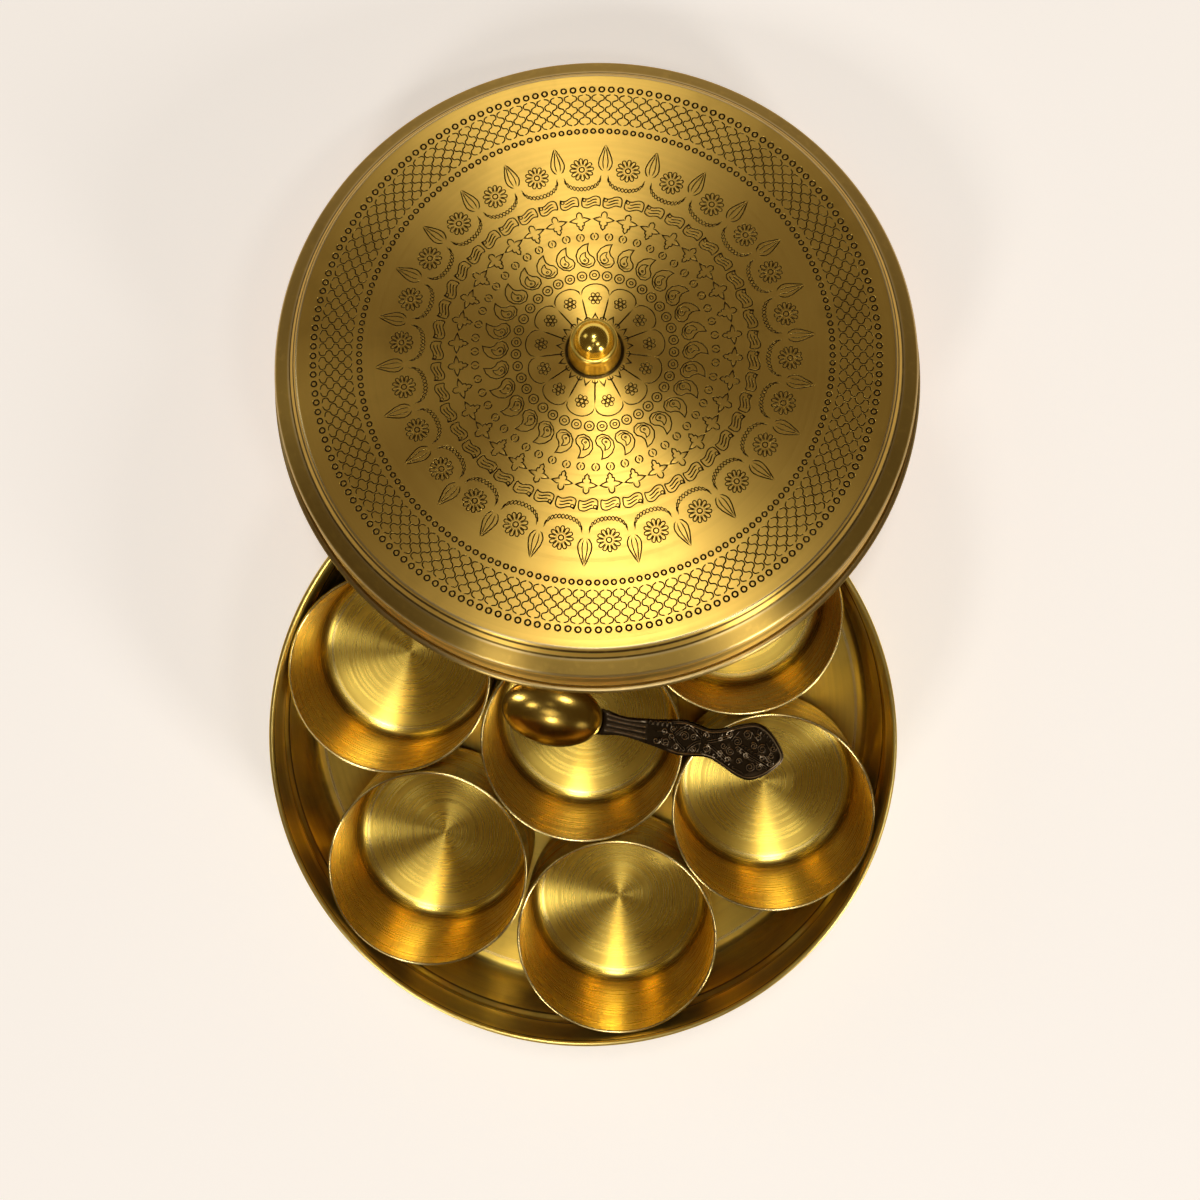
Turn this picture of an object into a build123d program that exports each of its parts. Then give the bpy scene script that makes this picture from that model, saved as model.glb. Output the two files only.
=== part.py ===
from build123d import *
from math import cos, hypot, radians, sin, sqrt
import os

# Round brass spice box: pan, seven cups, small spoon and a lid that leans on the pan.
# Origin at the centre of the pan's underside, +Y towards the side the lid leans on, +Z up, in mm.

# Pan
pan_wall_r = 113.25  # inner face of the wall
pan_sheet = 0.8
pan_height = 58.0
pan_cove = 5.5  # bend between floor and wall, inside
pan_bead_r = 0.9
rib_r = 114.85  # inner face of the rib around the wall
rib_low, rib_foot, rib_brow, rib_top = 32.6, 34.4, 38.2, 40.0

# Cups
cup_rim_r = 37.5
cup_rim_z = 53.0
cup_sheet = 0.7
cup_gap = 0.3  # between the pan's floor and a cup
cup_foot_r = 36.1  # where the wall's line meets the floor, inside
cup_cove = 4.5
cup_bead_r = 0.6
cup_ring_r = 75.4
cup_ring_start = 100.0  # degrees, the cup furthest under the lid
cup_names = ["cup_back", "cup_left_back", "cup_left_front", "cup_front", "cup_right_front", "cup_right_back"]

# Lid, in its own frame: centre of the rim's underside, turned to lean on the pan and the table
lid_at = (4.9, 135.2, 36.22)
lid_turn = (-17.927, 0.639, 0.0)
lid_sheet = 0.8
lid_centre_h = 24.9
lid_edge_r, lid_edge_h = 106.2, 24.2  # where the flat top ends
step_r, step_h = 108.8, 20.5  # foot of the step
shoulder_r, shoulder_h = 115.1, 17.4
skirt_r = 116.1
lid_bead_r = 1.2
lid_hole_r = 2.2

# Knob
post_foot_r, post_neck_r = 9.6, 8.0
post_height = 7.2  # up to the collar
collar_r, collar_height, collar_lip, collar_round = 8.4, 3.0, 0.4, 0.9
ball_r = 6.85
ball_h = 10.2  # centre above the lid
washer_r, washer_thick = 6.5, 0.8
screw_r, screw_head_r, screw_head = 2.0, 3.8, 2.2
screw_reach = 3.6  # from the washer into the post

# Spoon, in its own frame: the neck's middle, +X towards the handle's tip
spoon_at = (7.3, 8.6)
spoon_turn = -11.05
handle_z, handle_thick = 53.35, 2.4
handle_edge = 0.5
bowl_rim_z = 55.3
bowl_middle = -18.3
bowl_half_length, bowl_half_width, bowl_depth = 18.6, 12.6, 7.6
bowl_sheet = 0.8
handle_outline = [
    (-1.6, 5.3), (2.5, 4.5), (6.0, 3.8), (9.5, 3.6), (14.0, 4.1), (21.5, 5.2), (30.0, 6.6),
    (35.0, 6.0), (40.4, 5.3), (46.0, 7.1), (52.0, 9.8), (56.5, 10.7), (60.8, 9.1), (65.3, 5.0),
    (68.1, 0.0),
]

os.makedirs("parts", exist_ok=True)


def offset_line(points, distance):
    """The same open line moved sideways by distance, with mitred corners."""
    moved = []
    for i, (x, y) in enumerate(points):
        normals = []
        for a, b in ((i - 1, i), (i, i + 1)):
            if a < 0 or b >= len(points):
                continue
            dx, dy = points[b][0] - points[a][0], points[b][1] - points[a][1]
            length = hypot(dx, dy)
            normals.append((dy / length, -dx / length))
        nx = sum(n[0] for n in normals) / len(normals)
        ny = sum(n[1] for n in normals) / len(normals)
        scale_to = distance / (nx * nx + ny * ny)
        moved.append((x + nx * scale_to, y + ny * scale_to))
    return moved


def spun_section(plane, face, thickness, bends, bead):
    """Section of spun sheet from one face's line, with the inside radius of each bend and a bead."""
    back = offset_line(face, thickness)
    with BuildSketch(plane) as section:
        with BuildLine():
            Polyline(*face, *reversed(back), close=True)
        make_face()
        for i, radius in enumerate(bends, start=1):
            (ax, ay), (bx, by), (cx, cy) = face[i - 1 : i + 2]
            turns_left = (bx - ax) * (cy - by) > (by - ay) * (cx - bx)
            face_is_inside = turns_left == (thickness > 0)
            near, far = (0, abs(thickness)) if face_is_inside else (abs(thickness), 0)
            fillet(section.vertices().sort_by_distance((bx, by, 0))[0], radius + near)
            fillet(section.vertices().sort_by_distance((*back[i], 0))[0], radius + far)
        with Locations(bead[:2]):
            Circle(bead[2])
    return section.sketch


# The pan, spun from one sheet with a rolled rim
pan_face = [
    (0, pan_sheet),
    (pan_wall_r, pan_sheet),
    (pan_wall_r, rib_low),
    (rib_r, rib_foot),
    (rib_r, rib_brow),
    (pan_wall_r, rib_top),
    (pan_wall_r, pan_height - pan_bead_r),
]
with BuildPart() as pan:
    pan_bends = [pan_cove, 1.2, 1.0, 1.0, 0.5]
    pan_bead = (pan_wall_r + pan_bead_r - 0.05, pan_height - pan_bead_r, pan_bead_r)
    add(spun_section(Plane.XZ, pan_face, pan_sheet, pan_bends, pan_bead))
    revolve(axis=Axis.Z)
pan.part.label = "pan"
export_step(pan.part, "parts/pan.step")

# The cups: one in the middle and six around it
cup_places = [("cup_centre", 0.0, 0.0)]
for i, name in enumerate(cup_names):
    angle = radians(cup_ring_start + 60 * i)
    cup_places.append((name, cup_ring_r * cos(angle), cup_ring_r * sin(angle)))

cup_floor = pan_sheet + cup_gap + cup_sheet
cup_bead = (cup_rim_r - cup_bead_r, cup_rim_z - cup_bead_r, cup_bead_r)
cup_face = [
    (0, cup_floor),
    (cup_foot_r, cup_floor),
    (cup_bead[0] - cup_sheet / 2, cup_bead[1]),
]
for name, x, y in cup_places:
    with BuildPart() as cup:
        cup_plane = Plane(origin=(x, y, 0), x_dir=(1, 0, 0), z_dir=(0, -1, 0))
        add(spun_section(cup_plane, cup_face, cup_sheet, [cup_cove], cup_bead))
        revolve(axis=Axis((x, y, 0), (0, 0, 1)))
    cup.part.label = name
    export_step(cup.part, f"parts/{name}.step")

# The lid: its frame, and the plane its sections are drawn on
lid_frame = Plane(Location(lid_at, lid_turn))
lid_section = Plane(origin=lid_frame.origin, x_dir=lid_frame.x_dir, z_dir=-lid_frame.y_dir)
lid_axis = Axis(lid_frame.origin, lid_frame.z_dir)

lid_face = [
    (skirt_r, lid_bead_r),
    (shoulder_r, shoulder_h),
    (step_r, step_h),
    (lid_edge_r, lid_edge_h),
    (lid_hole_r, lid_centre_h),
]
lid_bead = (skirt_r - 0.05 + lid_bead_r, lid_bead_r, lid_bead_r)
with BuildPart() as lid_shell:
    add(spun_section(lid_section, lid_face, -lid_sheet, [1.3, 1.0, 0.8], lid_bead))
    revolve(axis=lid_axis)
lid_shell.part.label = "lid_shell"
export_step(lid_shell.part, "parts/lid_shell.step")

# The knob's post with its collar, bored for the screw and cupped for the ball
lid_top = lid_centre_h
collar_h = lid_top + post_height
with BuildPart() as knob_post:
    with BuildSketch(lid_section):
        with BuildLine():
            Polyline(
                (0, lid_top), (post_foot_r, lid_top), (post_neck_r, collar_h),
                (collar_r, collar_h + collar_lip), (collar_r, collar_h + collar_height),
                (0, collar_h + collar_height), close=True,
            )
        make_face()
    revolve(axis=lid_axis)
    collar_rim = knob_post.edges().filter_by(GeomType.CIRCLE).sort_by(lid_axis)[-1]
    fillet(collar_rim, collar_round)
    with BuildSketch(lid_frame.offset(lid_top)):
        Circle(screw_r)
    extrude(amount=screw_reach - lid_sheet, mode=Mode.SUBTRACT)
    with BuildSketch(lid_section):
        with Locations((0, lid_top + ball_h)):
            Circle(ball_r)
            Rectangle(2 * ball_r, 2 * ball_r, align=(Align.MAX, Align.CENTER), mode=Mode.SUBTRACT)
    revolve(axis=lid_axis, mode=Mode.SUBTRACT)
knob_post.part.label = "knob_post"
export_step(knob_post.part, "parts/knob_post.step")

# The ball
with BuildPart() as knob_ball:
    with BuildSketch(lid_section):
        with Locations((0, lid_top + ball_h)):
            Circle(ball_r)
            Rectangle(2 * ball_r, 2 * ball_r, align=(Align.MAX, Align.CENTER), mode=Mode.SUBTRACT)
    revolve(axis=lid_axis)
knob_ball.part.label = "knob_ball"
export_step(knob_ball.part, "parts/knob_ball.step")

# Under the lid: washer and screw
washer_h = lid_centre_h - lid_sheet - washer_thick
with BuildPart() as knob_washer:
    with BuildSketch(lid_frame.offset(washer_h - 0.05)):
        Circle(washer_r)
        Circle(lid_hole_r, mode=Mode.SUBTRACT)
    extrude(amount=washer_thick)
knob_washer.part.label = "knob_washer"
export_step(knob_washer.part, "parts/knob_washer.step")

head_h = washer_h - 0.05 - screw_head
with BuildPart() as knob_screw:
    with BuildSketch(lid_frame.offset(head_h)):
        Circle(screw_head_r)
    extrude(amount=screw_head)
    head_rim = knob_screw.edges().filter_by(GeomType.CIRCLE).sort_by(lid_axis)[0]
    fillet(head_rim, 1.2)
    with BuildSketch(lid_frame.offset(head_h + screw_head)):
        Circle(screw_r)
    extrude(amount=screw_reach + washer_thick)
    with BuildSketch(lid_frame.offset(head_h)):
        Rectangle(2 * screw_head_r, 0.9)
    extrude(amount=1.0, mode=Mode.SUBTRACT)
knob_screw.part.label = "knob_screw"
export_step(knob_screw.part, "parts/knob_screw.step")

# The spoon's bowl: a shell cut from a long spheroid
bowl_arc = (bowl_half_width**2 + bowl_depth**2) / (2 * bowl_depth)
bowl_rise = bowl_arc - bowl_depth  # the spheroid's middle above the bowl's rim
bowl_reach = bowl_half_length / sqrt(1 - (bowl_rise / bowl_arc) ** 2)
spoon_frame = Plane(Location((*spoon_at, 0), (0, 0, spoon_turn)))
bowl_centre = spoon_frame.from_local_coords(Vector(bowl_middle, 0, bowl_rim_z + bowl_rise))
bowl_plane = Plane(origin=bowl_centre, x_dir=spoon_frame.x_dir, z_dir=-spoon_frame.y_dir)
bowl_axis = Axis(bowl_centre, spoon_frame.x_dir)


def half_ellipse(shrink):
    """Section of the long spheroid the bowl is cut from, thinner by shrink."""
    with BuildSketch(bowl_plane) as section:
        Ellipse(bowl_reach - shrink, bowl_arc - shrink)
        Rectangle(3 * bowl_reach, 2 * bowl_arc, align=(Align.CENTER, Align.MAX), mode=Mode.SUBTRACT)
    return section.sketch


with BuildPart() as spoon_bowl:
    add(half_ellipse(0))
    revolve(axis=bowl_axis)
    add(half_ellipse(bowl_sheet))
    revolve(axis=bowl_axis, mode=Mode.SUBTRACT)
    split(bisect_by=spoon_frame.offset(bowl_rim_z), keep=Keep.BOTTOM)
spoon_bowl.part.label = "spoon_bowl"
export_step(spoon_bowl.part, "parts/spoon_bowl.step")

# Its handle: a flat cast blade that meets the bowl's end
with BuildPart() as spoon_handle:
    with BuildSketch(spoon_frame.offset(handle_z)):
        with BuildLine():
            blade = Spline(*handle_outline, *[(x, -y) for x, y in reversed(handle_outline[:-1])])
            Line(blade @ 1, blade @ 0)
        make_face()
    extrude(amount=handle_thick)
    fillet(spoon_handle.faces().sort_by(Axis.Z)[-1].edges(), handle_edge)
    add(half_ellipse(0))
    revolve(axis=bowl_axis, mode=Mode.SUBTRACT)
spoon_handle.part.label = "spoon_handle"
export_step(spoon_handle.part, "parts/spoon_handle.step")
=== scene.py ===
"""Round brass spice box: a pan of seven cups, a small spoon, and an engraved lid leaning on the rim."""

import random
from math import ceil, copysign, cos, hypot, pi, radians, sin, sqrt, tan

import bmesh
import bpy
from bpy.props import FloatProperty, FloatVectorProperty, IntProperty, PointerProperty
from mathutils import Matrix, Vector
from mathutils.geometry import delaunay_2d_cdt, interpolate_bezier
from mathutils.kdtree import KDTree


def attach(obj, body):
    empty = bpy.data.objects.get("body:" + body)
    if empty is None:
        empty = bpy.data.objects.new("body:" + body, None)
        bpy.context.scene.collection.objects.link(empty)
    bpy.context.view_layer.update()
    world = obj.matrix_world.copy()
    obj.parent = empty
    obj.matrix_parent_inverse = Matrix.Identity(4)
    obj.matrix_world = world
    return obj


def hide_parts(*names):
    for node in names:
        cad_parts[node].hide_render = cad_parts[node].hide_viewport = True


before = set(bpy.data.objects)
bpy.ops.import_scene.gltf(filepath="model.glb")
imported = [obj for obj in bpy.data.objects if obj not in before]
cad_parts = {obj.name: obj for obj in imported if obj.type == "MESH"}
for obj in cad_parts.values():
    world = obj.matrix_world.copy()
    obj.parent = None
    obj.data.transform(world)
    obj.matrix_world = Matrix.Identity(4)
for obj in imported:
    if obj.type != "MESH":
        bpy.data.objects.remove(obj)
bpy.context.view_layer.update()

bl_info = {
    "name": "Brass Spice Box",
    "version": (1, 0, 0),
    "blender": (4, 5, 0),
    "location": "3D View > Sidebar > Spice Box",
    "description": "Builds a spun brass spice box with cups, a spoon and an engraved lid",
    "category": "Add Mesh",
}

MM = 0.001

# Places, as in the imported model
CUP_RING = 75.4 * MM
CUP_RING_START = 100.0
RING_CUPS = ["cup_back", "cup_left_back", "cup_left_front", "cup_front", "cup_right_front", "cup_right_back"]
CUP_PLACES = {"cup_centre": Vector((0.0, 0.0, 0.0))}
for ring_index, ring_name in enumerate(RING_CUPS):
    ring_angle = radians(CUP_RING_START + 60 * ring_index)
    CUP_PLACES[ring_name] = Vector((CUP_RING * cos(ring_angle), CUP_RING * sin(ring_angle), 0.0))

LID_AT = Vector((4.9, 135.2, 36.22)) * MM
LID_TURN = Matrix.Rotation(radians(-17.927), 4, "X") @ Matrix.Rotation(radians(0.639), 4, "Y")
LID_FRAME = Matrix.Translation(LID_AT) @ LID_TURN
SPOON_FRAME = Matrix.Translation(Vector((7.3, 8.6, 0.0)) * MM) @ Matrix.Rotation(radians(-11.05), 4, "Z")


def length(name, description, default):
    return FloatProperty(name=name, description=description, default=default, unit="LENGTH")


def colour_of(name, description, default):
    return FloatVectorProperty(
        name=name, description=description, subtype="COLOR", size=3, default=default, min=0, max=1
    )


class SpiceBoxSizes(bpy.types.PropertyGroup):
    """Sizes of the sheet and the steps of the turned shapes."""

    pan_sheet: length("Pan sheet", "Thickness of the pan's sheet", 0.8 * MM)
    cup_sheet: length("Cup sheet", "Thickness of the cups' sheet", 0.7 * MM)
    lid_sheet: length("Lid sheet", "Thickness of the lid's sheet", 0.8 * MM)
    line_width: length("Line width", "Width of an engraved line", 0.5 * MM)
    line_depth: length("Line depth", "Depth of an engraved line", 0.13 * MM)
    turn_steps: IntProperty(
        name="Turn steps", description="Faces around a turned shape", default=240, min=24, max=360
    )


class SpiceBoxFinish(bpy.types.PropertyGroup):
    """Colours of the metal and of the stage."""

    lid_brass: colour_of("Lid brass", "Colour of the lid's paler brass", (0.89, 0.565, 0.115))
    brass: colour_of("Brass", "Colour of the pan, cups, knob and spoon", (0.94, 0.665, 0.125))
    tarnish: colour_of("Tarnish", "Colour the brass darkens to", (0.36, 0.2, 0.035))
    # Also the colour of painted highlights on rims, lips and floor edges, besides real rubbing wear
    worn: colour_of("Worn", "Colour of rims that are rubbed bright", (0.96, 0.8, 0.45))
    # Also the colour of painted shade in creases, coves and under lips, besides real dirt and patina in
    # grooves
    dirt_and_shade: colour_of("Dirt", "Colour of the old dirt in grooves and creases", (0.03, 0.018, 0.008))
    blackened: colour_of("Blackened", "Colour of the spoon's blackened handle", (0.48, 0.37, 0.24))
    floor: colour_of("Floor", "Colour of the floor", (0.965, 0.91, 0.85))


def finished(bm, name, body, nodes, material, crease=radians(30)):
    """Turns a bmesh into a shaded piece that rides on its body and stands for its nodes."""
    mesh = bpy.data.meshes.new(name)
    bm.to_mesh(mesh)
    bm.free()
    mesh.polygons.foreach_set("use_smooth", [True] * len(mesh.polygons))
    mesh.set_sharp_from_angle(angle=crease)
    mesh.materials.append(material)
    piece = bpy.data.objects.new(name, mesh)
    bpy.context.scene.collection.objects.link(piece)
    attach(piece, body)
    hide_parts(*nodes)
    return piece


# Turned shapes

BEND_STEPS = 6
BEAD_SIDES = 14
KNOB_STEPS = 96
BOWL_STEPS = 96
MERGE_DISTANCE = 1e-7
SEAM_DISTANCE = 0.01 * MM


def turn(bm, steps, geom=None):
    """Spins geom, or all that bm holds, about the Z axis and closes the seam and the pole."""
    bmesh.ops.spin(
        bm, geom=geom or bm.verts[:] + bm.edges[:], cent=(0, 0, 0), axis=(0, 0, 1), dvec=(0, 0, 0),
        angle=2 * pi, steps=steps, use_merge=True,
    )
    bmesh.ops.remove_doubles(bm, verts=bm.verts[:], dist=MERGE_DISTANCE)
    bmesh.ops.recalc_face_normals(bm, faces=bm.faces[:])


def profile(bm, corners, radii):
    """A line of (radius, height) corners, the inner ones rounded by radii."""
    verts = [bm.verts.new((r, 0.0, h)) for r, h in corners]
    for pair in zip(verts, verts[1:]):
        bm.edges.new(pair)
    for i, radius in enumerate(radii, start=1):
        if not radius:
            continue
        before, here, after = (Vector(corners[k]) for k in (i - 1, i, i + 1))
        bend = (here - before).angle(after - here)
        bmesh.ops.bevel(
            bm, geom=[verts[i]], offset=radius * tan(bend / 2), offset_type="ABSOLUTE",
            segments=BEND_STEPS, profile=0.5, affect="VERTICES", material=-1,
        )


def ring(bm, radius, height, bead, steps):
    """A closed bead around the Z axis."""
    place = Matrix.Translation((radius, 0, height)) @ Matrix.Rotation(pi / 2, 4, "X")
    made = bmesh.ops.create_circle(bm, segments=BEAD_SIDES, radius=bead, matrix=place)["verts"]
    edges = list({e for v in made for e in v.link_edges})
    turn(bm, steps, geom=made + edges)


def spun_sheet(corners, bends, thickness, bead, steps):
    """A sheet spun from one face's line, its wall given away from the face, with a rolled bead."""
    radii = []
    for i, bend in enumerate(bends, start=1):
        (ax, ay), (bx, by), (cx, cy) = corners[i - 1 : i + 2]
        left = (bx - ax) * (cy - by) > (by - ay) * (cx - bx)
        radii.append(bend if left == (thickness > 0) else bend + abs(thickness))
    bm = bmesh.new()
    profile(bm, corners, radii)
    turn(bm, steps)
    middle = min(bm.faces, key=lambda f: f.calc_center_median().xy.length)
    down = abs(thickness) if middle.normal.z > 0 else -abs(thickness)
    bmesh.ops.solidify(bm, geom=bm.faces[:], thickness=down)
    bmesh.ops.recalc_face_normals(bm, faces=bm.faces[:])
    if bead:
        edge = bmesh.new()
        ring(edge, *bead, steps)
        join(bm, edge)
    return bm


def join(bm, other):
    """Adds another bmesh's faces to bm."""
    spare = bpy.data.meshes.new("spare")
    other.to_mesh(spare)
    other.free()
    bm.from_mesh(spare)
    bpy.data.meshes.remove(spare)


# Materials


class Nodes:
    """Short ways to add and link shader nodes in one material."""

    def __init__(self, material):
        material.use_nodes = True
        self.tree = material.node_tree
        self.tree.nodes.clear()

    def add(self, kind, **settings):
        node = self.tree.nodes.new("ShaderNode" + kind)
        for key, value in settings.items():
            setattr(node, key, value)
        return node

    def plug(self, socket, value):
        if isinstance(value, bpy.types.NodeSocket):
            self.tree.links.new(value, socket)
        else:
            socket.default_value = value

    def math(self, operation, a, b, clamp=False):
        node = self.add("Math", operation=operation, use_clamp=clamp)
        for socket, value in zip(node.inputs, (a, b)):
            self.plug(socket, value)
        return node.outputs[0]

    def vector(self, operation, a, b=(0, 0, 0), scale=None):
        node = self.add("VectorMath", operation=operation)
        self.plug(node.inputs[0], a)
        self.plug(node.inputs[1], b)
        if scale is not None:
            self.plug(node.inputs["Scale"], scale)
        return node.outputs["Value"] if operation == "LENGTH" else node.outputs[0]

    def combine(self, x, y, z):
        node = self.add("CombineXYZ")
        for socket, value in zip(node.inputs, (x, y, z)):
            self.plug(socket, value)
        return node.outputs[0]

    def noise(self, vector, scale, detail=2.0, roughness=0.5):
        node = self.add("TexNoise", noise_dimensions="3D")
        self.plug(node.inputs["Vector"], vector)
        node.inputs["Scale"].default_value = scale
        node.inputs["Detail"].default_value = detail
        node.inputs["Roughness"].default_value = roughness
        return node.outputs[0]

    def ramp(self, value, low, high, to_low=0.0, to_high=1.0):
        node = self.add("MapRange", interpolation_type="SMOOTHSTEP")
        for socket, number in zip(node.inputs, (value, low, high, to_low, to_high)):
            self.plug(socket, number)
        return node.outputs[0]

    def mix(self, factor, a, b):
        node = self.add("Mix", data_type="RGBA")
        for socket, value in ((node.inputs[0], factor), (node.inputs[6], a), (node.inputs[7], b)):
            self.plug(socket, value)
        return node.outputs[2]

    def local(self, place):
        """The surface point in the frame of place, in metres."""
        mapping = self.add("Mapping", vector_type="TEXTURE")
        mapping.inputs["Location"].default_value = place.to_translation()
        mapping.inputs["Rotation"].default_value = place.to_euler()
        self.plug(mapping.inputs["Vector"], self.add("TexCoord").outputs["Object"])
        return mapping.outputs[0]

    def turned_out(self, direction, place):
        """A direction of place's frame, in the whole box's frame."""
        mapping = self.add("Mapping", vector_type="VECTOR")
        mapping.inputs["Rotation"].default_value = place.to_euler()
        self.plug(mapping.inputs["Vector"], direction)
        return mapping.outputs[0]

    def bump(self, height, distance, strength=1.0, under=None):
        """A bumped normal, on top of the normal given as under."""
        node = self.add("Bump")
        node.inputs["Strength"].default_value = strength
        node.inputs["Distance"].default_value = distance
        self.plug(node.inputs["Height"], height)
        if under is not None:
            self.plug(node.inputs["Normal"], under)
        return node.outputs[0]

    def metal(self, colour, roughness, normal):
        """The material's surface, as bare metal."""
        shader = self.add("BsdfPrincipled")
        shader.inputs["Metallic"].default_value = 1.0
        for name, value in (("Base Color", colour), ("Roughness", roughness), ("Normal", normal)):
            self.plug(shader.inputs[name], value)
        self.plug(self.add("OutputMaterial").inputs[0], shader.outputs[0])
        return shader


def rgba(colour):
    return (*colour, 1.0)


# Brass: how fine its lines, clouds and marks are, to the metre, and how far each of them shows

LATHE_LINES = 2600.0
LATHE_BANDS = 700.0
LATHE_DRIFT = 9.0
CLOUDS = 38.0
GRIT = 300.0
SWELLS = 55.0
WEAR_RUNS = 60.0
WEAR_REACH = 24 * MM
RINGS_LOW, RINGS_HIGH = 5 * MM, 9 * MM
RING_SWAY = 0.15
ROUGH_SPREAD = 0.02
SHINE_SMOOTHS = 0.4
LATHE_RELIEF = 0.0008 * MM
SWELL_RELIEF = 0.06 * MM
POLISH_CLOUDS = 220.0
POLISH_DENTS = 130.0
DENT_RELIEF = 0.1 * MM
BLACK_CLOUDS = 400.0
BLACK_RELIEF = 0.05 * MM


def turned_brass(
    name, place, rough, grain, tarnish=0.3, creases=(), edges=(), wall=None, rings=0.0, dish=0.0,
    grooves=False,
):
    """Brass brushed around the axis of place. Its creases are darkened with dirt and painted shade, and its
    edges are painted bright with wear and painted highlights, both given as radius, height, width and
    strength. Wear runs down from the rim as far as wall, rings darkens the lathe lines of a floor, dish
    hollows it slightly, and grooves darkens engraved lines."""
    finish = bpy.context.scene.spice_box_finish
    material = bpy.data.materials.new(name)
    n = Nodes(material)
    point = n.local(place)
    split = n.add("SeparateXYZ")
    n.plug(split.inputs[0], point)
    x, y, z = split.outputs
    radius = n.vector("LENGTH", n.combine(x, y, 0.0))
    along = n.math("ADD", radius, z)
    drift = n.vector("SCALE", point, scale=LATHE_DRIFT)

    def lathe(pitch, detail):
        across = n.combine(n.math("MULTIPLY", along, pitch), 0.0, 0.0)
        return n.noise(n.vector("ADD", across, drift), 1.0, detail, 0.6)

    lines = lathe(LATHE_LINES, 3.0)
    bands = lathe(LATHE_BANDS, 2.0)
    clouds = n.noise(point, CLOUDS, 4.0, 0.6)

    stain = n.math("MULTIPLY", n.ramp(clouds, 0.5, 0.8), tarnish)
    ringed = n.math("MULTIPLY", n.ramp(z, RINGS_LOW, RINGS_HIGH, 1.0, 0.0), rings)
    streaks = n.math("MULTIPLY", n.ramp(bands, 0.4, 0.75), n.math("ADD", ringed, tarnish * 0.3))
    stain = n.math("ADD", stain, streaks, clamp=True)
    colour = n.mix(stain, rgba(finish.lid_brass if grooves else finish.brass), rgba(finish.tarnish))
    if wall is not None:
        around = n.vector("NORMALIZE", n.combine(x, y, 0.0))
        rise = n.combine(0.0, 0.0, n.math("MULTIPLY", z, WEAR_RUNS))
        comb = n.noise(n.vector("ADD", n.vector("SCALE", around, scale=WEAR_RUNS), rise), 1.0, 3.0, 0.7)
        worn = n.math("MULTIPLY", n.ramp(comb, 0.5, 0.72), n.ramp(z, wall, wall + WEAR_REACH, 0.0, 0.5))
        colour = n.mix(worn, colour, rgba(finish.tarnish))

    def circles(marks):
        found = 0.0
        for r, h, width, strength in marks:
            across, above = n.math("SUBTRACT", radius, r * MM), n.math("SUBTRACT", z, h * MM)
            gap = n.vector("LENGTH", n.combine(across, above, 0.0))
            found = n.math("MAXIMUM", found, n.ramp(gap, width * 0.35 * MM, width * MM, strength, 0.0))
        return found

    # Edges painted bright in the worn colour: painted highlights along rims and lips, with some real rubbing
    # wear
    wear_and_highlight = circles(edges)
    colour = n.mix(wear_and_highlight, colour, rgba(finish.worn))
    # Creases darkened towards the dirt colour: painted shade in creases, coves and under lips, with some real
    # dirt
    dirt_and_shade = n.math("MULTIPLY", circles(creases), n.ramp(n.noise(point, GRIT, 3.0), 0.25, 0.5, 0.85, 1.0))
    if grooves:
        patina = n.add("Attribute", attribute_name="patina").outputs["Fac"]
        dirt_and_shade = n.math("MAXIMUM", dirt_and_shade, n.ramp(patina, 0.04, 0.36, 0.0, 0.98))
    colour = n.mix(dirt_and_shade, colour, rgba(finish.dirt_and_shade))

    sway = n.math("MULTIPLY", ringed, RING_SWAY)
    smoother = n.math("SUBTRACT", rough - ROUGH_SPREAD, sway)
    rougher = n.math("ADD", rough + ROUGH_SPREAD, sway)
    rubbed = n.math("MULTIPLY", wear_and_highlight, rough * SHINE_SMOOTHS)
    roughness = n.math("SUBTRACT", n.ramp(bands, 0.3, 0.7, smoother, rougher), rubbed)

    normal = None
    if dish:
        normal = n.bump(n.math("MULTIPLY", n.math("MULTIPLY", radius, radius), dish), 1.0)
    normal = n.bump(n.noise(point, SWELLS, 1.0), SWELL_RELIEF, 0.6, normal)
    normal = n.bump(lines, LATHE_RELIEF, 0.5, normal)

    shader = n.metal(colour, roughness, normal)
    shader.inputs["Anisotropic"].default_value = grain
    shader.inputs["Anisotropic Rotation"].default_value = 0.25
    tangent = n.combine(n.math("MULTIPLY", y, -1.0), x, 0.0)
    n.plug(shader.inputs["Tangent"], n.turned_out(tangent, place))
    return material


def polished_brass(name, place, rough, dents, tarnish=0.3):
    """Brass polished nearly to a mirror, with faint handling marks."""
    finish = bpy.context.scene.spice_box_finish
    material = bpy.data.materials.new(name)
    n = Nodes(material)
    point = n.local(place)
    clouds = n.noise(point, POLISH_CLOUDS, 4.0, 0.6)
    stain = n.ramp(clouds, 0.5, 0.8, tarnish - 0.3, tarnish)
    colour = n.mix(stain, rgba(finish.brass), rgba(finish.tarnish))
    marks = n.bump(n.noise(point, POLISH_DENTS, 2.0), DENT_RELIEF, dents)
    n.metal(colour, n.ramp(clouds, 0.3, 0.75, rough, rough + 0.04), marks)
    return material


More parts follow.
